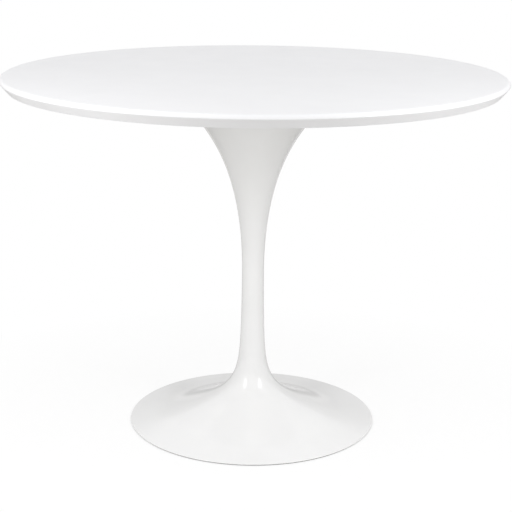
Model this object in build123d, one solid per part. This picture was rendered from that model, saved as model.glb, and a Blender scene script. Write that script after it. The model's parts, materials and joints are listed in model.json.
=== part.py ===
from build123d import *

import os

# A round dining table: a bevelled disc on a trumpet-shaped pedestal with a shallow bell foot.
# Millimetres, +Z up. The origin is on the floor, under the middle of the table.

# Table top
TABLE_HEIGHT = 728.0
TOP_DIAMETER = 1000.0
TOP_THICKNESS = 25.0
TOP_EDGE_ROUND = 7.5  # radius of the upper edge
TOP_EDGE_BAND = 0.5  # upright band between the rounded edge and the bevel
TOP_BEVEL = 15.0  # how far the underside is set back from the rim
TOP_EDGE_EASE = 1.0  # radius that softens the two corners of the bevel

# Outline of the pedestal: a radius grows from the waist to each open end as
# waist + swell * share**2 + the rest * share**power
WAIST_DIAMETER = 44.8
WAIST_HEIGHT = 323.0
MOUTH_DIAMETER = 360.0
MOUTH_GAP = 0.5  # shadow gap between the mouth and the underside of the top
MOUTH_EDGE = 2.0  # height of the upright edge of the mouth
TRUMPET_SWELL = 88.0
TRUMPET_POWER = 4.53
FOOT_DIAMETER = 510.0
FOOT_SWELL = 12.6
FOOT_POWER = 8.65
FOOT_DISH = 0.035  # draws the middle of the bell in, which leaves a wide flat rim
DISH_START = 14
DISH_END = 100
RIM_EDGE = 2.5  # height of the upright edge of the foot
RIM_ROUND = 1.8  # radius of its upper corner
RIM_EASE = 0.5  # radius of its lower corner
WALL = 4.5
CURVE_POINTS = 33

# Mounting plate in the mouth of the trumpet
PLATE_THICKNESS = 5.0
PLATE_GAP = 0.5  # clearance round the plate
MOUTH_LIP = 14.0  # width of the mouth's rim outside the plate
LEDGE_WIDTH = 16.0  # width of the ledge that carries the plate
SCREW_COUNT = 6
SCREW_INSET = 40.0  # from the edge of the plate to the screws
HUB_DIAMETER = 36.0
HUB_LENGTH = 30.0
HUB_WELD = 4.0

# Screws, washers and inserts between the plate and the top
SCREW_DIAMETER = 6.0
SCREW_LENGTH = 16.0
SCREW_HEAD_DIAMETER = 10.5
SCREW_HEAD_HEIGHT = 3.3
SCREW_SOCKET = 4.0  # hexagon key, across flats
SCREW_SOCKET_DEPTH = 2.0
SCREW_HOLE_GAP = 0.3
WASHER_DIAMETER = 12.5
WASHER_THICKNESS = 1.6
INSERT_DIAMETER = 10.0
INSERT_LENGTH = 13.0
INSERT_FLANGE_DIAMETER = 13.0
INSERT_FLANGE_THICKNESS = 1.2
INSERT_FIT = 0.05
INSERT_TIP_GAP = 1.0  # room above the insert in its blind hole

# Tie rod with its nuts, washers and the sleeve across the waist joint
ROD_DIAMETER = 12.0
ROD_TOP_GAP = 2.0  # between the end of the rod and the plate
ROD_OVERRUN = 4.0  # how far the rod shows below its nut
ROD_CHAMFER = 1.0
THREAD_GAP = 0.1  # clearance that stands for every thread
ROD_HOLE_GAP = 0.5
NUT_WIDTH = 18.0  # across flats
NUT_HEIGHT = 10.8
NUT_CHAMFER = 1.2
ROD_WASHER_DIAMETER = 24.0
ROD_WASHER_THICKNESS = 2.5
LOCK_WASHER_DIAMETER = 21.0
LOCK_WASHER_THICKNESS = 2.5
LOCK_WASHER_SLIT = 1.2
LOCK_WASHER_TILT = 20.0  # lean of the slit, in degrees
SLEEVE_LENGTH = 100.0
SLEEVE_WALL = 3.0
SLEEVE_FIT = 0.1
COLLAR_HEIGHT = 10.0  # inner collar of the stem that the sleeve stands on

# Clamp plate under the neck of the foot
CLAMP_SEAT_HEIGHT = 58.0
CLAMP_THICKNESS = 6.0
CLAMP_LAND = 18.0  # width of the seat
CLAMP_EDGE_GAP = 1.0

# Ballast inside the bell
BALLAST_LIFT = 8.0  # underside above the floor
BALLAST_THICKNESS = 10.0
BALLAST_WIDTH = 57.0
BALLAST_EDGE_GAP = 2.0
BALLAST_CHAMFER = 1.5
BALLAST_RIB = 18.0  # width of the rib that the ballast is screwed to
BALLAST_SCREW_COUNT = 4
BALLAST_SCREW_DIAMETER = 6.0
BALLAST_SCREW_LENGTH = 16.0
BALLAST_SCREW_HEAD = 12.0
BALLAST_SCREW_TIP_GAP = 1.5
BALLAST_SCREW_SOCKET = 4.0
BALLAST_SCREW_SOCKET_DEPTH = 1.8

# Glide ring under the rim of the foot
GLIDE_THICKNESS = 1.5
GLIDE_SETBACK = 2.0  # from the edge of the foot
GLIDE_WIDTH = 11.0
GLIDE_RIB_WIDTH = 3.0
GLIDE_RIB_HEIGHT = 0.8
GLIDE_RIB_GAP = 0.1

# Heights that follow from the sizes above
under_z = TABLE_HEIGHT - TOP_THICKNESS
mouth_z = under_z - MOUTH_GAP
flare_z = mouth_z - MOUTH_EDGE
ledge_z = under_z - PLATE_THICKNESS
hub_z = ledge_z - HUB_LENGTH
washer_z = ledge_z - WASHER_THICKNESS
rim_z = GLIDE_THICKNESS + RIM_EDGE
sleeve_low_z = WAIST_HEIGHT - SLEEVE_LENGTH / 2
sleeve_high_z = WAIST_HEIGHT + SLEEVE_LENGTH / 2
clamp_z = CLAMP_SEAT_HEIGHT - CLAMP_THICKNESS
rod_washer_z = clamp_z - ROD_WASHER_THICKNESS
lock_washer_z = rod_washer_z - LOCK_WASHER_THICKNESS
nut_z = lock_washer_z - NUT_HEIGHT
ballast_z = BALLAST_LIFT + BALLAST_THICKNESS

# Radii that follow from the sizes above
top_r = TOP_DIAMETER / 2
waist_r = WAIST_DIAMETER / 2
mouth_r = MOUTH_DIAMETER / 2
foot_r = FOOT_DIAMETER / 2
bore_r = waist_r - WALL
sleeve_r = bore_r - SLEEVE_FIT
sleeve_bore_r = sleeve_r - SLEEVE_WALL
seat_r = mouth_r - MOUTH_LIP
plate_r = seat_r - PLATE_GAP
ledge_r = seat_r - LEDGE_WIDTH
screw_circle_r = plate_r - SCREW_INSET
screw_r = SCREW_DIAMETER / 2
rod_r = ROD_DIAMETER / 2


def flare(share, end_r, swell, power):
    """Radius at a share of the way from the waist, at 0, to an open end, at 1."""
    return waist_r + swell * share**2 + (end_r - waist_r - swell) * share**power


def trumpet_r(z):
    """Outer radius of the trumpet at a height."""
    share = (z - WAIST_HEIGHT) / (flare_z - WAIST_HEIGHT)
    return flare(share, mouth_r, TRUMPET_SWELL, TRUMPET_POWER)


def bell_r(z):
    """Outer radius of the foot at a height."""
    share = (WAIST_HEIGHT - z) / (WAIST_HEIGHT - rim_z)
    share -= FOOT_DISH * (share**DISH_START - share**DISH_END)
    return flare(share, foot_r, FOOT_SWELL, FOOT_POWER)


def hollow_r(z):
    """Radius of the hollow in the foot at a height: the outside moved in and down by the wall."""
    return bell_r(z + WALL) - WALL


clamp_r = hollow_r(CLAMP_SEAT_HEIGHT) - CLAMP_EDGE_GAP
clamp_seat_r = clamp_r - CLAMP_LAND
ballast_r = hollow_r(ballast_z) - BALLAST_EDGE_GAP
ballast_hole_r = ballast_r - BALLAST_WIDTH
ballast_circle_r = (ballast_r + ballast_hole_r) / 2
glide_r = foot_r - GLIDE_SETBACK
glide_middle_r = glide_r - GLIDE_WIDTH / 2


def outline(end_z, radius_at):
    """Curve from the waist to an open end, in the section plane: x is radius and y is height.

    Its points lie closer together towards the end, where the curve turns most.
    """
    points = []
    for i in range(CURVE_POINTS):
        left = 1 - i / (CURVE_POINTS - 1)
        z = end_z + (WAIST_HEIGHT - end_z) * left**2
        points.append((radius_at(z), z))
    return Spline(*points)


def section(curve, *corners):
    """Face between a curve and straight lines from its end through corners back to its start."""
    return make_face([curve, Polyline(curve @ 1, *corners, curve @ 0)])


def block(inner_r, outer_r, low_z, high_z):
    """Rectangle in the section plane."""
    middle = Pos((inner_r + outer_r) / 2, (low_z + high_z) / 2)
    return middle * Rectangle(outer_r - inner_r, high_z - low_z)


def turned(face):
    """Solid of revolution from a section."""
    return revolve(Plane.XZ * face, Axis.Z)


def drum(radius, low_z, high_z):
    """Upright cylinder on the axis of the table."""
    on_base = (Align.CENTER, Align.CENTER, Align.MIN)
    return Pos(0, 0, low_z) * Cylinder(radius, high_z - low_z, align=on_base)


def tube(outer_r, inner_r, low_z, high_z):
    """Upright ring on the axis of the table."""
    return drum(outer_r, low_z, high_z) - drum(inner_r, low_z, high_z)


def key_socket(width, low_z, depth):
    """Hexagonal recess for a key, open at its lower end."""
    return Pos(0, 0, low_z) * extrude(RegularPolygon(width / 2, 6, major_radius=False), depth)


def round_the_axis(shape, radius, count):
    """Copies of a shape, evenly spaced round the axis of the table."""
    return [spot * shape for spot in PolarLocations(radius, count)]


def corner(face, radius, z):
    """Corner of a section that lies at a point."""
    return face.vertices().sort_by_distance((radius, z, 0))[0]


def table_top():
    """Disc with a rounded upper edge, a bevel below it and blind holes for the inserts."""
    bevel_z = TABLE_HEIGHT - TOP_EDGE_ROUND - TOP_EDGE_BAND
    bevel_r = top_r - TOP_BEVEL
    rim = [(bevel_r, under_z), (top_r, bevel_z), (top_r, TABLE_HEIGHT)]
    face = make_face(Polyline((0, under_z), *rim, (0, TABLE_HEIGHT), close=True))
    face = fillet(corner(face, top_r, TABLE_HEIGHT), TOP_EDGE_ROUND)
    face = fillet([corner(face, bevel_r, under_z), corner(face, top_r, bevel_z)], TOP_EDGE_EASE)
    screw_reach = washer_z + SCREW_LENGTH - under_z
    hole_depth = max(INSERT_LENGTH, screw_reach) + INSERT_TIP_GAP
    hole = drum(INSERT_DIAMETER / 2 + INSERT_FIT, under_z, under_z + hole_depth)
    hole += drum(INSERT_FLANGE_DIAMETER / 2 + INSERT_FIT, under_z, under_z + INSERT_FLANGE_THICKNESS)
    return turned(face) - round_the_axis(hole, screw_circle_r, SCREW_COUNT)


def top_inserts():
    """Flanged inserts, flush with the underside of the top."""
    insert = drum(INSERT_DIAMETER / 2, under_z, under_z + INSERT_LENGTH)
    insert += drum(INSERT_FLANGE_DIAMETER / 2, under_z, under_z + INSERT_FLANGE_THICKNESS)
    insert -= drum(screw_r + THREAD_GAP, under_z, under_z + INSERT_LENGTH)
    return round_the_axis(insert, screw_circle_r, SCREW_COUNT)


def mounting_plate():
    """Steel disc that carries the top and lies on the ledge in the trumpet's mouth."""
    hole = drum(screw_r + SCREW_HOLE_GAP, ledge_z, under_z)
    return drum(plate_r, ledge_z, under_z) - round_the_axis(hole, screw_circle_r, SCREW_COUNT)


def plate_hub():
    """Tapped hub under the plate, with the bead that welds it on."""
    hub_r = HUB_DIAMETER / 2
    on_top = (Align.CENTER, Align.CENTER, Align.MAX)
    bead = Pos(0, 0, ledge_z) * Cone(hub_r, hub_r + HUB_WELD, HUB_WELD, align=on_top)
    return drum(hub_r, hub_z, ledge_z) + bead - drum(rod_r + THREAD_GAP, hub_z, ledge_z)


def plate_screws():
    """Socket head screws, driven from below through the plate into the inserts."""
    head_z = washer_z - SCREW_HEAD_HEIGHT
    screw = drum(SCREW_HEAD_DIAMETER / 2, head_z, washer_z)
    screw += drum(screw_r, washer_z, washer_z + SCREW_LENGTH)
    screw -= key_socket(SCREW_SOCKET, head_z, SCREW_SOCKET_DEPTH)
    return round_the_axis(screw, screw_circle_r, SCREW_COUNT)


def plate_washers():
    """Flat washers between the screw heads and the plate."""
    washer = tube(WASHER_DIAMETER / 2, screw_r + SCREW_HOLE_GAP, washer_z, ledge_z)
    return round_the_axis(washer, screw_circle_r, SCREW_COUNT)


def trumpet():
    """Upper half of the pedestal: a shell with a ledge for the plate and a bore for the sleeve."""
    curve = outline(flare_z, trumpet_r)
    full = section(curve, (mouth_r, mouth_z), (0, mouth_z), (0, WAIST_HEIGHT))
    above_z = mouth_z + WALL
    hollow_corners = [(mouth_r - WALL, above_z), (0, above_z), (0, WAIST_HEIGHT), (bore_r, WAIST_HEIGHT)]
    face = full - section(Pos(-WALL, WALL) * curve, *hollow_corners)
    face += full & block(bore_r, mouth_r, WAIST_HEIGHT, sleeve_high_z)
    face += full & block(ledge_r, mouth_r, WAIST_HEIGHT, ledge_z)
    face += full & block(seat_r, mouth_r, WAIST_HEIGHT, mouth_z)
    face -= block(0, seat_r, ledge_z, under_z)
    return turned(face)


def stem_sleeve():
    """Tube that keeps the two halves of the pedestal in line."""
    return tube(sleeve_r, sleeve_bore_r, sleeve_low_z, sleeve_high_z)


def foot():
    """Lower half of the pedestal: a stem that spreads into a hollow bell."""
    curve = outline(rim_z, bell_r)
    full = section(curve, (foot_r, GLIDE_THICKNESS), (0, GLIDE_THICKNESS), (0, WAIST_HEIGHT))
    hollow_corners = [(foot_r - WALL, -WALL), (0, -WALL), (0, WAIST_HEIGHT), (bore_r, WAIST_HEIGHT)]
    face = full - section(Pos(-WALL, -WALL) * curve, *hollow_corners)
    face += full & block(bore_r, foot_r, sleeve_low_z, WAIST_HEIGHT)
    face += full & block(sleeve_bore_r, foot_r, sleeve_low_z - COLLAR_HEIGHT, sleeve_low_z)
    face += full & block(clamp_seat_r, foot_r, CLAMP_SEAT_HEIGHT, WAIST_HEIGHT)
    rib_r = ballast_circle_r - BALLAST_RIB / 2
    face += full & block(rib_r, rib_r + BALLAST_RIB, ballast_z, WAIST_HEIGHT)
    groove_r = glide_middle_r - GLIDE_RIB_WIDTH / 2 - GLIDE_RIB_GAP
    groove_width = GLIDE_RIB_WIDTH + 2 * GLIDE_RIB_GAP
    groove_z = GLIDE_THICKNESS + GLIDE_RIB_HEIGHT + GLIDE_RIB_GAP
    face -= block(groove_r, groove_r + groove_width, 0, groove_z)
    bell = turned(face)
    rim = bell.edges().filter_by(GeomType.CIRCLE).sort_by(SortBy.RADIUS)[-2:].sort_by(Axis.Z)
    bell = fillet(rim[-1], RIM_ROUND)
    rim = bell.edges().filter_by(GeomType.CIRCLE).group_by(Axis.Z)[0].sort_by(SortBy.RADIUS)
    bell = fillet(rim[-1], RIM_EASE)
    screw_reach = BALLAST_SCREW_LENGTH - BALLAST_THICKNESS + BALLAST_SCREW_TIP_GAP
    hole = drum(BALLAST_SCREW_DIAMETER / 2 + THREAD_GAP, ballast_z, ballast_z + screw_reach)
    return bell - round_the_axis(hole, ballast_circle_r, BALLAST_SCREW_COUNT)


def tie_rod():
    """Threaded rod from the hub down to the nut under the clamp plate."""
    rod = drum(rod_r, nut_z - ROD_OVERRUN, ledge_z - ROD_TOP_GAP)
    return chamfer(rod.edges().filter_by(GeomType.CIRCLE), ROD_CHAMFER)


def nut(low_z):
    """Hexagon nut on the rod, with its corners turned down at both ends."""
    flats = RegularPolygon(NUT_WIDTH / 2, 6, major_radius=False)
    blank = Pos(0, 0, low_z) * extrude(flats, NUT_HEIGHT)
    corner_r = max(vertex.center().X for vertex in flats.vertices())
    limit = drum(corner_r, low_z, low_z + NUT_HEIGHT)
    limit = chamfer(limit.edges().filter_by(GeomType.CIRCLE), NUT_CHAMFER)
    return (blank & limit) - drum(rod_r + THREAD_GAP, low_z, low_z + NUT_HEIGHT)


def hub_jam_nut():
    """Nut that locks the rod against the hub."""
    return nut(hub_z - NUT_HEIGHT)


def clamp_plate():
    """Steel disc that pulls up against the seat in the neck of the foot."""
    return tube(clamp_r, rod_r + ROD_HOLE_GAP, clamp_z, CLAMP_SEAT_HEIGHT)


def rod_washer():
    """Flat washer under the clamp plate."""
    return tube(ROD_WASHER_DIAMETER / 2, rod_r + ROD_HOLE_GAP, rod_washer_z, clamp_z)


def rod_lock_washer():
    """Split spring washer above the nut, drawn flat as when tightened."""
    ring = tube(LOCK_WASHER_DIAMETER / 2, rod_r + ROD_HOLE_GAP, lock_washer_z, rod_washer_z)
    slit = Box(LOCK_WASHER_DIAMETER, LOCK_WASHER_SLIT, LOCK_WASHER_DIAMETER)
    middle = Pos(LOCK_WASHER_DIAMETER / 2, 0, (lock_washer_z + rod_washer_z) / 2)
    return ring - middle * Rot(LOCK_WASHER_TILT, 0, 0) * slit


def rod_nut():
    """Nut that tightens the pedestal from beneath."""
    return nut(nut_z)


def countersunk(gap, tip_z):
    """Countersunk screw on the axis, or its hole where there is a gap round it."""
    head_r = BALLAST_SCREW_HEAD / 2
    shank_r = BALLAST_SCREW_DIAMETER / 2 + gap
    cone_height = head_r - BALLAST_SCREW_DIAMETER / 2
    on_base = (Align.CENTER, Align.CENTER, Align.MIN)
    head = Pos(0, 0, BALLAST_LIFT) * Cone(head_r + gap, shank_r, cone_height, align=on_base)
    return head + drum(shank_r, BALLAST_LIFT, tip_z)


def ballast_ring():
    """Cast iron ring with countersunk holes."""
    ring = tube(ballast_r, ballast_hole_r, BALLAST_LIFT, ballast_z)
    ring = chamfer(ring.edges().filter_by(GeomType.CIRCLE), BALLAST_CHAMFER)
    hole = countersunk(SCREW_HOLE_GAP, ballast_z)
    return ring - round_the_axis(hole, ballast_circle_r, BALLAST_SCREW_COUNT)


def ballast_screws():
    """Countersunk socket screws, flush with the underside of the ballast."""
    screw = countersunk(0, BALLAST_LIFT + BALLAST_SCREW_LENGTH)
    screw -= key_socket(BALLAST_SCREW_SOCKET, BALLAST_LIFT, BALLAST_SCREW_SOCKET_DEPTH)
    return round_the_axis(screw, ballast_circle_r, BALLAST_SCREW_COUNT)


def glide_ring():
    """Soft ring under the rim, held by a rib in the rim's groove."""
    rib_r = GLIDE_RIB_WIDTH / 2
    face = block(glide_r - GLIDE_WIDTH, glide_r, 0, GLIDE_THICKNESS)
    rib_z = GLIDE_THICKNESS + GLIDE_RIB_HEIGHT
    face += block(glide_middle_r - rib_r, glide_middle_r + rib_r, 0, rib_z)
    return turned(face)


NODES = [
    table_top,
    top_inserts,
    mounting_plate,
    plate_hub,
    plate_screws,
    plate_washers,
    trumpet,
    stem_sleeve,
    foot,
    tie_rod,
    hub_jam_nut,
    clamp_plate,
    rod_washer,
    rod_lock_washer,
    rod_nut,
    ballast_ring,
    ballast_screws,
    glide_ring,
]

os.makedirs("parts", exist_ok=True)
for node in NODES:
    shape = node()
    if isinstance(shape, list):
        shape = Compound(children=shape)
    shape.label = node.__name__
    export_step(shape, f"parts/{node.__name__}.step")
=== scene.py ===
import json
import math

import bmesh
import bpy
from mathutils import Matrix, Vector


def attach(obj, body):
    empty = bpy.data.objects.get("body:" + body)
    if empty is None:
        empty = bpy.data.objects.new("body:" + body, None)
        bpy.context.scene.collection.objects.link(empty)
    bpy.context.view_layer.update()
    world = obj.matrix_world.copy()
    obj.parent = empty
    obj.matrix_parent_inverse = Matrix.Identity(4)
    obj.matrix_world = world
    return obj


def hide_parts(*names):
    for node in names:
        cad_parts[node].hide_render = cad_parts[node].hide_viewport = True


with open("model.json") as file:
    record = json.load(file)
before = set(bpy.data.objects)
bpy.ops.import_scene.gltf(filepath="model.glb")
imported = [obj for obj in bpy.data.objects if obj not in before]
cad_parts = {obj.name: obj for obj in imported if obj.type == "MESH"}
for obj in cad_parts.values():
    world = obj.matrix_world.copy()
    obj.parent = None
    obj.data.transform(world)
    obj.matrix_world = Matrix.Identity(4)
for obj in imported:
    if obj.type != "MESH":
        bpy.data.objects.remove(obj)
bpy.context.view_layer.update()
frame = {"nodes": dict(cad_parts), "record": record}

# Lengths are metres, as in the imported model, and patterns are given in millimetres.


def linear(hex_colour):
    """A colour written as sRGB hex, as the linear RGBA that the shaders take."""
    parts = [int(hex_colour[i : i + 2], 16) / 255 for i in (1, 3, 5)]
    return [p / 12.92 if p <= 0.04045 else ((p + 0.055) / 1.055) ** 2.4 for p in parts] + [1.0]


def per_metre(millimetres):
    """Scale of a noise pattern whose marks are that wide."""
    return 1000 / millimetres


def node(tree, kind, sockets=None, stops=(), **settings):
    """Adds a node with its settings. A socket gets a number or a colour, or a link from another node's output. Stops
    are the (position, colour) pairs of a colour ramp."""
    made = tree.nodes.new(kind)
    for name, value in settings.items():
        setattr(made, name, value)
    for name, value in (sockets or {}).items():
        if isinstance(value, bpy.types.NodeSocket):
            tree.links.new(value, made.inputs[name])
        else:
            made.inputs[name].default_value = value
    if stops:
        ramp = made.color_ramp.elements
        ramp.remove(ramp[1])
        for position, colour in stops:
            ramp.new(position).color = linear(colour)
        ramp.remove(ramp[0])
    return made


def finish_named(name):
    """An empty material: its node tree, the socket that its shader goes to, and the place on the object in metres."""
    made = bpy.data.materials.new(name)
    made.use_nodes = True
    tree = made.node_tree
    tree.nodes.clear()
    out = node(tree, "ShaderNodeOutputMaterial")
    place = node(tree, "ShaderNodeTexCoord").outputs["Object"]
    return made, tree, out.inputs["Surface"], place


def satin_lacquer_on_fibreboard():
    """Lacquer sprayed on smooth fibreboard and left satin. The eye gets an even cool white with soft, spread
    reflections, a trace of orange peel from the spray gun, and faint cloudy patches from wiping."""
    made, tree, surface, place = finish_named("satin_lacquer_on_fibreboard")
    cloud = node(tree, "ShaderNodeTexNoise", {"Vector": place, "Scale": per_metre(120), "Detail": 3.0})
    colour = node(tree, "ShaderNodeValToRGB", {"Fac": cloud.outputs["Fac"]}, [(0.3, "#F0F0F2"), (0.7, "#F2F2F4")])
    wiped = node(tree, "ShaderNodeTexNoise", {"Vector": place, "Scale": per_metre(40), "Detail": 4.0})
    gloss = node(tree, "ShaderNodeMapRange", {"Value": wiped.outputs["Fac"], "From Min": 0.3, "From Max": 0.7,
                                              "To Min": 0.3, "To Max": 0.38})
    peel = node(tree, "ShaderNodeTexNoise", {"Vector": place, "Scale": per_metre(3), "Detail": 1.0})
    bump = node(tree, "ShaderNodeBump", {"Height": peel.outputs["Fac"], "Strength": 1.0, "Distance": 0.000012})
    lacquer = node(tree, "ShaderNodeBsdfPrincipled", {"Base Color": colour.outputs["Color"],
                                                      "Roughness": gloss.outputs["Result"],
                                                      "IOR": 1.5, "Normal": bump.outputs["Normal"]})
    tree.links.new(lacquer.outputs["BSDF"], surface)
    return made


def gloss_powder_coat_on_cast_aluminium():
    """Powder coat baked on a turned and filled casting. The eye gets a hard white gloss with clear highlights, and the
    slow ripple that powder leaves as it melts."""
    made, tree, surface, place = finish_named("gloss_powder_coat_on_cast_aluminium")
    cloud = node(tree, "ShaderNodeTexNoise", {"Vector": place, "Scale": per_metre(90), "Detail": 2.0})
    colour = node(tree, "ShaderNodeValToRGB", {"Fac": cloud.outputs["Fac"]}, [(0.3, "#F3F3F3"), (0.7, "#F5F5F5")])
    haze = node(tree, "ShaderNodeTexNoise", {"Vector": place, "Scale": per_metre(30), "Detail": 3.0})
    gloss = node(tree, "ShaderNodeMapRange", {"Value": haze.outputs["Fac"], "From Min": 0.3, "From Max": 0.7,
                                              "To Min": 0.1, "To Max": 0.15})
    ripple = node(tree, "ShaderNodeTexNoise", {"Vector": place, "Scale": per_metre(6), "Detail": 1.0})
    bump = node(tree, "ShaderNodeBump", {"Height": ripple.outputs["Fac"], "Strength": 1.0, "Distance": 0.000015})
    paint = node(tree, "ShaderNodeBsdfPrincipled", {"Base Color": colour.outputs["Color"],
                                                    "Roughness": gloss.outputs["Result"],
                                                    "IOR": 1.5, "Normal": bump.outputs["Normal"]})
    tree.links.new(paint.outputs["BSDF"], surface)
    return made


def zinc_plated_steel():
    """Steel with a bright zinc plating. The eye gets a pale cool metal with a slightly blotched, silky shine."""
    made, tree, surface, place = finish_named("zinc_plated_steel")
    blotch = node(tree, "ShaderNodeTexNoise", {"Vector": place, "Scale": per_metre(8), "Detail": 3.0})
    colour = node(tree, "ShaderNodeValToRGB", {"Fac": blotch.outputs["Fac"]}, [(0.3, "#BBC0C4"), (0.7, "#C7CBCE")])
    gloss = node(tree, "ShaderNodeMapRange", {"Value": blotch.outputs["Fac"], "From Min": 0.3, "From Max": 0.7,
                                              "To Min": 0.42, "To Max": 0.28})
    grit = node(tree, "ShaderNodeTexNoise", {"Vector": place, "Scale": per_metre(0.8), "Detail": 2.0})
    bump = node(tree, "ShaderNodeBump", {"Height": grit.outputs["Fac"], "Strength": 1.0, "Distance": 0.00002})
    metal = node(tree, "ShaderNodeBsdfPrincipled", {"Base Color": colour.outputs["Color"], "Metallic": 1.0,
                                                    "Roughness": gloss.outputs["Result"],
                                                    "Normal": bump.outputs["Normal"]})
    tree.links.new(metal.outputs["BSDF"], surface)
    return made


def turned_brass():
    """Brass bar turned on a lathe. The eye gets a warm yellow metal with fine rings and a little tarnish."""
    made, tree, surface, place = finish_named("turned_brass")
    tarnish = node(tree, "ShaderNodeTexNoise", {"Vector": place, "Scale": per_metre(4), "Detail": 3.0})
    colour = node(tree, "ShaderNodeValToRGB", {"Fac": tarnish.outputs["Fac"]}, [(0.3, "#B08A43"), (0.7, "#CDA85E")])
    rings = node(tree, "ShaderNodeTexWave", {"Vector": place, "Scale": per_metre(1.5), "Distortion": 0.5},
                 bands_direction="Z")
    bump = node(tree, "ShaderNodeBump", {"Height": rings.outputs["Fac"], "Strength": 1.0, "Distance": 0.00002})
    metal = node(tree, "ShaderNodeBsdfPrincipled", {"Base Color": colour.outputs["Color"], "Metallic": 1.0,
                                                    "Roughness": 0.32, "Normal": bump.outputs["Normal"]})
    tree.links.new(metal.outputs["BSDF"], surface)
    return made


def sand_cast_iron_painted_black():
    """Iron poured in a sand mould and dipped in thin black paint. The eye gets a dull, pitted near-black."""
    made, tree, surface, place = finish_named("sand_cast_iron_painted_black")
    sand = node(tree, "ShaderNodeTexNoise", {"Vector": place, "Scale": per_metre(1.6), "Detail": 4.0})
    colour = node(tree, "ShaderNodeValToRGB", {"Fac": sand.outputs["Fac"]}, [(0.35, "#161617"), (0.7, "#2C2C2D")])
    bump = node(tree, "ShaderNodeBump", {"Height": sand.outputs["Fac"], "Strength": 1.0, "Distance": 0.0003})
    iron = node(tree, "ShaderNodeBsdfPrincipled", {"Base Color": colour.outputs["Color"], "Roughness": 0.7,
                                                   "IOR": 1.5, "Normal": bump.outputs["Normal"]})
    tree.links.new(iron.outputs["BSDF"], surface)
    return made


def moulded_grey_rubber():
    """Rubber moulded in a ring. The eye gets a matt dark grey with a fine grain."""
    made, tree, surface, place = finish_named("moulded_grey_rubber")
    grain = node(tree, "ShaderNodeTexNoise", {"Vector": place, "Scale": per_metre(1), "Detail": 3.0})
    colour = node(tree, "ShaderNodeValToRGB", {"Fac": grain.outputs["Fac"]}, [(0.3, "#4A4A4A"), (0.7, "#5A5A5A")])
    bump = node(tree, "ShaderNodeBump", {"Height": grain.outputs["Fac"], "Strength": 1.0, "Distance": 0.00005})
    rubber = node(tree, "ShaderNodeBsdfPrincipled", {"Base Color": colour.outputs["Color"], "Roughness": 0.75,
                                                     "IOR": 1.5, "Normal": bump.outputs["Normal"]})
    tree.links.new(rubber.outputs["BSDF"], surface)
    return made


FINISHES = {
    "white_lacquer": satin_lacquer_on_fibreboard(),
    "white_gloss_paint": gloss_powder_coat_on_cast_aluminium(),
    "zinc_plated_steel": zinc_plated_steel(),
    "brass": turned_brass(),
    "black_cast_iron": sand_cast_iron_painted_black(),
    "grey_rubber": moulded_grey_rubber(),
}
SLOTS = {part["node"]: part["material_slot"] for part in frame["record"]["subparts"]}
for name, slot in SLOTS.items():
    piece = frame["nodes"][name]
    piece.data.materials.clear()
    piece.data.materials.append(FINISHES[slot])

# The three white pieces are turned again here, finely and evenly, because their gloss shows every facet.
# Their sizes are those of the CAD model.
TOP_R, TOP_Z, UNDER_Z = 0.5, 0.728, 0.703
TOP_ROUND, TOP_BEVEL, TOP_BEVEL_Z, TOP_EASE = 0.0075, 0.015, 0.720, 0.001
INSERT_CIRCLE, INSERT_COUNT, INSERT_FIELD = 0.1255, 6, 0.15
INSERT_HOLE_R, INSERT_HOLE_Z, FLANGE_R, FLANGE_Z = 0.00505, 0.717, 0.00655, 0.7042
WAIST_R, WAIST_Z, WALL = 0.0224, 0.323, 0.0045
MOUTH_R, FLARE_Z, MOUTH_Z, TRUMPET_SWELL, TRUMPET_POWER = 0.18, 0.7005, 0.7025, 0.088, 4.53
SEAT_R, LEDGE_R, LEDGE_Z = 0.166, 0.15, 0.698
FOOT_R, RIM_Z, RIM_UNDER_Z, FOOT_SWELL, FOOT_POWER = 0.255, 0.004, 0.0015, 0.0126, 8.65
FOOT_DISH, DISH_START, DISH_END = 0.035, 14, 100
RIM_ROUND, RIM_EASE = 0.0018, 0.0005
GROOVE_R, GROOVE_WIDTH, GROOVE_Z = 0.2459, 0.0032, 0.0024
BORE_R, SLEEVE_HALF, COLLAR_R, COLLAR_HEIGHT = 0.0179, 0.05, 0.0148, 0.01
CLAMP_SEAT_Z, CLAMP_SEAT_WIDTH = 0.058, 0.019
BALLAST_TOP_Z, BALLAST_GAP, BALLAST_WIDTH, RIB_WIDTH = 0.018, 0.002, 0.057, 0.018
RIB_HOLE_R, RIB_HOLE_Z, RIB_HOLES = 0.0031, 0.0255, 4
STEPS_ROUND, HOLE_STEPS = 192, 24
OUTER_ROWS, HOLLOW_ROWS = 140, 40
ROUNDING_STEP = 4.0  # degrees between the rows of a rounded edge
HALVINGS = 50
SHARP = math.radians(30)


def flare(share, end_r, swell, power):
    """Radius at a share of the way from the waist to an open end."""
    return WAIST_R + swell * share**2 + (end_r - WAIST_R - swell) * share**power


def trumpet_r(z):
    return flare((z - WAIST_Z) / (FLARE_Z - WAIST_Z), MOUTH_R, TRUMPET_SWELL, TRUMPET_POWER)


def trumpet_hollow_r(z):
    return trumpet_r(z - WALL) - WALL


def bell_r(z):
    share = (WAIST_Z - z) / (WAIST_Z - RIM_Z)
    share -= FOOT_DISH * (share**DISH_START - share**DISH_END)
    return flare(share, FOOT_R, FOOT_SWELL, FOOT_POWER)


def bell_hollow_r(z):
    return bell_r(z + WALL) - WALL


def height_at(radius, radius_of, narrow_z, wide_z):
    """Height between two others at which a curve has a radius."""
    for _ in range(HALVINGS):
        middle = (narrow_z + wide_z) / 2
        if radius_of(middle) < radius:
            narrow_z = middle
        else:
            wide_z = middle
    return narrow_z


def bell_hollow_z(radius):
    return height_at(radius, bell_hollow_r, WAIST_Z, RIM_UNDER_Z)


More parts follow.
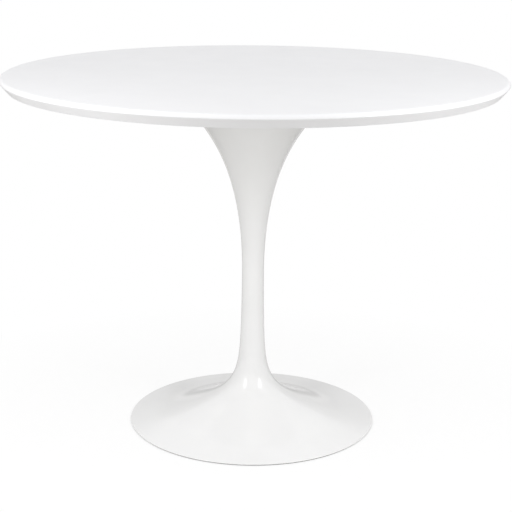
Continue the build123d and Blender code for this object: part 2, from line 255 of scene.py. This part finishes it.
def curve_rows(radius_of, start_z, end_z, rows):
    """Points along a curve, closer together towards its end, where it turns most."""
    heights = [end_z + (start_z - end_z) * (1 - i / rows) ** 2 for i in range(rows + 1)]
    return [(radius_of(z), z) for z in heights]


def rounded(before, corner, after, radius):
    """Points of an edge that is rounded between two straight runs."""
    corner = Vector(corner)
    back, on = (Vector(before) - corner).normalized(), (Vector(after) - corner).normalized()
    half = back.angle(on) / 2
    centre = corner + (back + on).normalized() * (radius / math.sin(half))
    first = (corner + back * (radius / math.tan(half)) - centre).normalized()
    last = (corner + on * (radius / math.tan(half)) - centre).normalized()
    steps = math.ceil(math.degrees(first.angle(last)) / ROUNDING_STEP)
    return [tuple(centre + first.slerp(last, i / steps) * radius) for i in range(steps + 1)]


def sweep(mesh, line, x=0.0, y=0.0, steps=STEPS_ROUND, closed=False):
    """Turns a line of (radius, height) points round an upright axis and gives its first and last ring."""
    rings = []
    for r, z in line:
        angles = [2 * math.pi * i / steps for i in range(steps if r > 0 else 1)]
        rings.append([mesh.verts.new((x + r * math.cos(a), y + r * math.sin(a), z)) for a in angles])
    for ring, following in zip(rings, rings[1:] + rings[:1] if closed else rings[1:]):
        for i in range(steps):
            corners = [ring[i % len(ring)], ring[(i + 1) % steps % len(ring)],
                       following[(i + 1) % steps % len(following)], following[i % len(following)]]
            mesh.faces.new(list(dict.fromkeys(corners)))
    return rings[0], rings[-1]


def drilled_face(mesh, rims, line, circle_r, count):
    """Flat face between rims, with blind holes in a circle. The line is a hole's wall, from its mouth to its end."""
    for i in range(count):
        a = 2 * math.pi * i / count
        rims.append(sweep(mesh, line, circle_r * math.cos(a), circle_r * math.sin(a), HOLE_STEPS)[0])
    edges = [mesh.edges.get((rim[i], rim[i - 1])) for rim in rims for i in range(len(rim))]
    bmesh.ops.triangle_fill(mesh, use_beauty=True, edges=edges)


def turned_piece(name, node_name, mesh):
    """Makes the mesh into a piece that stands for a CAD node."""
    bmesh.ops.recalc_face_normals(mesh, faces=mesh.faces)
    data = bpy.data.meshes.new(name)
    mesh.to_mesh(data)
    mesh.free()
    data.shade_smooth()
    data.set_sharp_from_angle(angle=SHARP)
    data.materials.append(FINISHES[SLOTS[node_name]])
    piece = bpy.data.objects.new(name, data)
    bpy.context.scene.collection.objects.link(piece)
    flat = piece.modifiers.new("flat_faces_stay_flat", "WEIGHTED_NORMAL")
    flat.keep_sharp = True
    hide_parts(node_name)
    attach(piece, "root")


def lacquered_top():
    """Disc with a rounded upper edge and an eased bevel below it. Inserts sit in holes in its underside."""
    crown, arris, heel = (TOP_R, TOP_Z), (TOP_R, TOP_BEVEL_Z), (TOP_R - TOP_BEVEL, UNDER_Z)
    line = [(0.0, TOP_Z)]
    line += rounded((0.0, TOP_Z), crown, arris, TOP_ROUND)
    line += rounded(crown, arris, heel, TOP_EASE)
    line += rounded(arris, heel, (0.0, UNDER_Z), TOP_EASE)
    line += [(INSERT_FIELD, UNDER_Z)]
    mesh = bmesh.new()
    field = sweep(mesh, line)[1]
    hole = [(FLANGE_R, UNDER_Z), (FLANGE_R, FLANGE_Z), (INSERT_HOLE_R, FLANGE_Z), (INSERT_HOLE_R, INSERT_HOLE_Z),
            (0.0, INSERT_HOLE_Z)]
    drilled_face(mesh, [field], hole, INSERT_CIRCLE, INSERT_COUNT)
    turned_piece("lacquered_top", "table_top", mesh)


def painted_trumpet():
    """Shell that flares to the mouth, with a ledge for the mounting plate and a bore for the sleeve."""
    bore_z = WAIST_Z + SLEEVE_HALF
    line = curve_rows(trumpet_r, WAIST_Z, FLARE_Z, OUTER_ROWS)
    line += [(MOUTH_R, MOUTH_Z), (SEAT_R, MOUTH_Z), (SEAT_R, LEDGE_Z), (LEDGE_R, LEDGE_Z)]
    wall_z = height_at(LEDGE_R, trumpet_hollow_r, bore_z, MOUTH_Z)
    line += curve_rows(trumpet_hollow_r, bore_z, wall_z, HOLLOW_ROWS)[::-1]
    line += [(BORE_R, bore_z), (BORE_R, WAIST_Z)]
    mesh = bmesh.new()
    sweep(mesh, line, closed=True)
    turned_piece("painted_trumpet", "trumpet", mesh)


def painted_foot():
    """Stem that spreads into a hollow bell with a rounded rim, a groove for the glide ring and a rib for the
    ballast."""
    bore_z = WAIST_Z - SLEEVE_HALF
    collar_z = bore_z - COLLAR_HEIGHT
    ballast_r = bell_hollow_r(BALLAST_TOP_Z) - BALLAST_GAP
    rib_circle = ballast_r - BALLAST_WIDTH / 2
    rib_in, rib_out = rib_circle - RIB_WIDTH / 2, rib_circle + RIB_WIDTH / 2
    seat_r = bell_hollow_r(CLAMP_SEAT_Z) - CLAMP_SEAT_WIDTH
    rim, toe = (FOOT_R, RIM_Z), (FOOT_R, RIM_UNDER_Z)
    groove_in, groove_out = (GROOVE_R, RIM_UNDER_Z), (GROOVE_R + GROOVE_WIDTH, RIM_UNDER_Z)
    # From the rib's inner corner up the hollow and the bore, down the outside, and in along the hollow again
    line = [(rib_in, BALLAST_TOP_Z)]
    line += curve_rows(bell_hollow_r, CLAMP_SEAT_Z, bell_hollow_z(rib_in), HOLLOW_ROWS)[::-1]
    line += [(seat_r, CLAMP_SEAT_Z)]
    line += curve_rows(bell_hollow_r, collar_z, bell_hollow_z(seat_r), HOLLOW_ROWS)[::-1]
    line += [(COLLAR_R, collar_z), (COLLAR_R, bore_z), (BORE_R, bore_z), (BORE_R, WAIST_Z)]
    outside = [row for row in curve_rows(bell_r, WAIST_Z, RIM_Z, OUTER_ROWS) if row[0] < FOOT_R - 2 * RIM_ROUND]
    line += outside + rounded(outside[-1], rim, toe, RIM_ROUND) + rounded(rim, toe, groove_out, RIM_EASE)
    line += [groove_out, (groove_out[0], GROOVE_Z), (GROOVE_R, GROOVE_Z), groove_in]
    line += curve_rows(bell_hollow_r, bell_hollow_z(rib_out), RIM_UNDER_Z, HOLLOW_ROWS)[::-1]
    line += [(rib_out, BALLAST_TOP_Z)]
    mesh = bmesh.new()
    rims = list(sweep(mesh, line))
    hole = [(RIB_HOLE_R, BALLAST_TOP_Z), (RIB_HOLE_R, RIB_HOLE_Z), (0.0, RIB_HOLE_Z)]
    drilled_face(mesh, rims, hole, rib_circle, RIB_HOLES)
    turned_piece("painted_foot", "foot", mesh)


lacquered_top()
painted_trumpet()
painted_foot()

# Studio: a white floor, a tray round the table that only gloss sees and that carries painted reflections of shade,
# an even white room, two softboxes in front, and two strips low beside the top that only show as the highlights on the
# foot.
FLOOR_HALF = 40.0
# Share of the floor's white glow by distance: dimmed near the table and most in a thin ring at the foot's rim, painted
# shade that lets the real shadow show darker there
FLOOR_WHITE = [(0.256, "#A0A0A0"), (0.259, "#E7E7E7"), (0.35, "#E7E7E7"), (0.8, "#FFFFFF")]
PAPER = "#D8D7D4"
ROOM_LIGHT = 0.81
REFLECTION_TRAY_LINE = [(0.28, 0.003), (0.8, 0.01), (1.5, 0.04), (1.5, 0.7)]
REFLECTION_TRAY_STEPS = 64
# Painted reflections: glowing greys by distance for the table's shade on the floor, the pale floor beyond and a grey
# wall
PAINTED_REFLECTION_GREYS = [(0.45, "#A9A8A7"), (0.9, "#858483"), (1.15, "#8F8E8D"), (1.3, "#E0DFDE"), (1.502, "#E0DFDE"),
                  (1.52, "#B6B5B4")]
LAMP_AIM, LAMP_ELEVATION = Vector((0, 0, 0.1)), 35
LEFT, RIGHT = -41, 46.5  # degrees round from the camera's side
SOFTBOX = {"distance": 1.4, "width": 0.325, "height": 0.525, "mirrored": False}
STRIP = {"distance": 0.8, "width": 0.186, "height": 0.3, "mirrored": True}


def seen_directly(tree):
    """1 for what the camera, a mirror or glass sees, 0 for light on its way between surfaces."""
    rays = node(tree, "ShaderNodeLightPath").outputs
    seen = node(tree, "ShaderNodeMath", {0: rays["Is Camera Ray"], 1: rays["Is Glossy Ray"]}, operation="MAXIMUM")
    return node(tree, "ShaderNodeMath", {0: seen.outputs[0], 1: rays["Is Transmission Ray"]},
                operation="MAXIMUM").outputs[0]


def tone_by_distance(tree, place, tones):
    """Colour that goes by the distance from the table's middle, through (metres, colour) pairs."""
    reach = tones[-1][0]
    away = node(tree, "ShaderNodeVectorMath", {0: place}, operation="LENGTH")
    share = node(tree, "ShaderNodeMath", {0: away.outputs["Value"], 1: reach}, operation="DIVIDE")
    stops = [(metres / reach, colour) for metres, colour in tones]
    return node(tree, "ShaderNodeValToRGB", {"Fac": share.outputs[0]}, stops).outputs["Color"]


def white_floor():
    """Seamless white paper. It looks white from a glow that is dimmed near the table and most in a thin ring at the
    foot's rim, so it keeps a faint real shadow near the table and a darker, partly painted shade at the foot's rim.
    Light that comes back up from it has the paper's own tone."""
    made, tree, surface, place = finish_named("seamless_white_paper")
    seen = seen_directly(tree)
    white = tone_by_distance(tree, place, FLOOR_WHITE)
    share = node(tree, "ShaderNodeMath", {0: white, 1: seen}, operation="MULTIPLY")
    # Sockets 6 and 7 are a mix's two colours, and output 2 is its colour
    tone = node(tree, "ShaderNodeMix", {0: seen, 6: linear(PAPER), 7: linear("#FFFFFF")}, data_type="RGBA")
    paper = node(tree, "ShaderNodeBsdfDiffuse", {"Color": tone.outputs[2]})
    glow = node(tree, "ShaderNodeEmission", {"Color": linear("#FFFFFF"), "Strength": 1.0})
    mixed = node(tree, "ShaderNodeMixShader", {0: share.outputs[0], 1: paper.outputs[0], 2: glow.outputs[0]})
    tree.links.new(mixed.outputs[0], surface)
    mesh = bpy.data.meshes.new("floor")
    h = FLOOR_HALF
    mesh.from_pydata([(-h, -h, 0), (h, -h, 0), (h, h, 0), (-h, h, 0)], [], [(0, 1, 2, 3)])
    mesh.materials.append(made)
    floor = bpy.data.objects.new("floor", mesh)
    bpy.context.scene.collection.objects.link(floor)


def painted_reflection_tray():
    """Tray round the table that only reflections see, a glowing grey of painted reflections. Its grey goes by the
    distance from the table, as painted reflections of the table's shade on the floor, the pale floor beyond it and a
    grey wall. It gives the white edges their outline."""
    made, tree, surface, place = finish_named("painted_reflection_tray_glow")
    grey = tone_by_distance(tree, place, PAINTED_REFLECTION_GREYS)
    glow = node(tree, "ShaderNodeEmission", {"Color": grey, "Strength": 1.0})
    tree.links.new(glow.outputs[0], surface)
    mesh = bmesh.new()
    sweep(mesh, REFLECTION_TRAY_LINE, steps=REFLECTION_TRAY_STEPS)
    data = bpy.data.meshes.new("painted_reflection_tray")
    mesh.to_mesh(data)
    mesh.free()
    data.materials.append(made)
    reflection_tray = bpy.data.objects.new("painted_reflection_tray", data)
    reflection_tray.visible_camera = reflection_tray.visible_diffuse = False
    reflection_tray.visible_transmission = reflection_tray.visible_shadow = False
    bpy.context.scene.collection.objects.link(reflection_tray)


def white_room():
    room = bpy.data.worlds.new("white_room")
    room.use_nodes = True
    tree = room.node_tree
    tree.nodes.clear()
    light = node(tree, "ShaderNodeBackground", {"Color": linear("#FFFFFF"), "Strength": ROOM_LIGHT})
    white = node(tree, "ShaderNodeBackground", {"Color": linear("#FFFFFF"), "Strength": 1.0})
    mixed = node(tree, "ShaderNodeMixShader", {0: seen_directly(tree), 1: light.outputs[0], 2: white.outputs[0]})
    node(tree, "ShaderNodeOutputWorld", {"Surface": mixed.outputs[0]})
    bpy.context.scene.world = room


def soft_lamp(name, azimuth, brightness, distance, width, height, mirrored):
    """A lamp that faces the foot, with its brightness in units of white paper. A mirrored lamp only shows as a
    highlight in gloss. The others only light the surfaces, so the top stays free of glare."""
    lamp = bpy.data.lights.new(name, "AREA")
    lamp.shape = "RECTANGLE"
    lamp.size, lamp.size_y = width, height
    lamp.energy = brightness * math.pi * width * height
    a, e = math.radians(azimuth), math.radians(LAMP_ELEVATION)
    towards = Vector((math.sin(a) * math.cos(e), -math.cos(a) * math.cos(e), math.sin(e)))
    placed = bpy.data.objects.new(name, lamp)
    placed.location = LAMP_AIM + towards * distance
    placed.rotation_euler = towards.to_track_quat("Z", "Y").to_euler()
    placed.visible_camera = False
    placed.visible_glossy, placed.visible_diffuse = mirrored, not mirrored
    bpy.context.scene.collection.objects.link(placed)


white_floor()
painted_reflection_tray()
white_room()
soft_lamp("softbox_left", LEFT, 6.8, **SOFTBOX)
soft_lamp("softbox_right", RIGHT, 6.2, **SOFTBOX)
soft_lamp("strip_left", LEFT, 4.2, **STRIP)
soft_lamp("strip_right", RIGHT, 4.6, **STRIP)

# Camera: fitted to the outline of the top, the pedestal and the foot.
CAMERA_BACK, CAMERA_HEIGHT = 2.6562, 1.0838
CAMERA_TILT, CAMERA_ROLL = 74.6139, 0.5252
CAMERA_LENS, CAMERA_SENSOR, CAMERA_SHIFT = 94.18, 36.0, 0.00558
CAMERA_REACH = 200.0
lens = bpy.data.cameras.new("camera")
lens.sensor_width = CAMERA_SENSOR
lens.lens = CAMERA_LENS
lens.shift_x = CAMERA_SHIFT
lens.clip_end = CAMERA_REACH
camera = bpy.data.objects.new("camera", lens)
camera.matrix_world = (
    Matrix.Translation((0, -CAMERA_BACK, CAMERA_HEIGHT))
    @ Matrix.Rotation(math.radians(CAMERA_TILT), 4, "X")
    @ Matrix.Rotation(math.radians(CAMERA_ROLL), 4, "Z")
)
bpy.context.scene.collection.objects.link(camera)
bpy.context.scene.camera = camera
bpy.context.scene.view_settings.view_transform = "Standard"
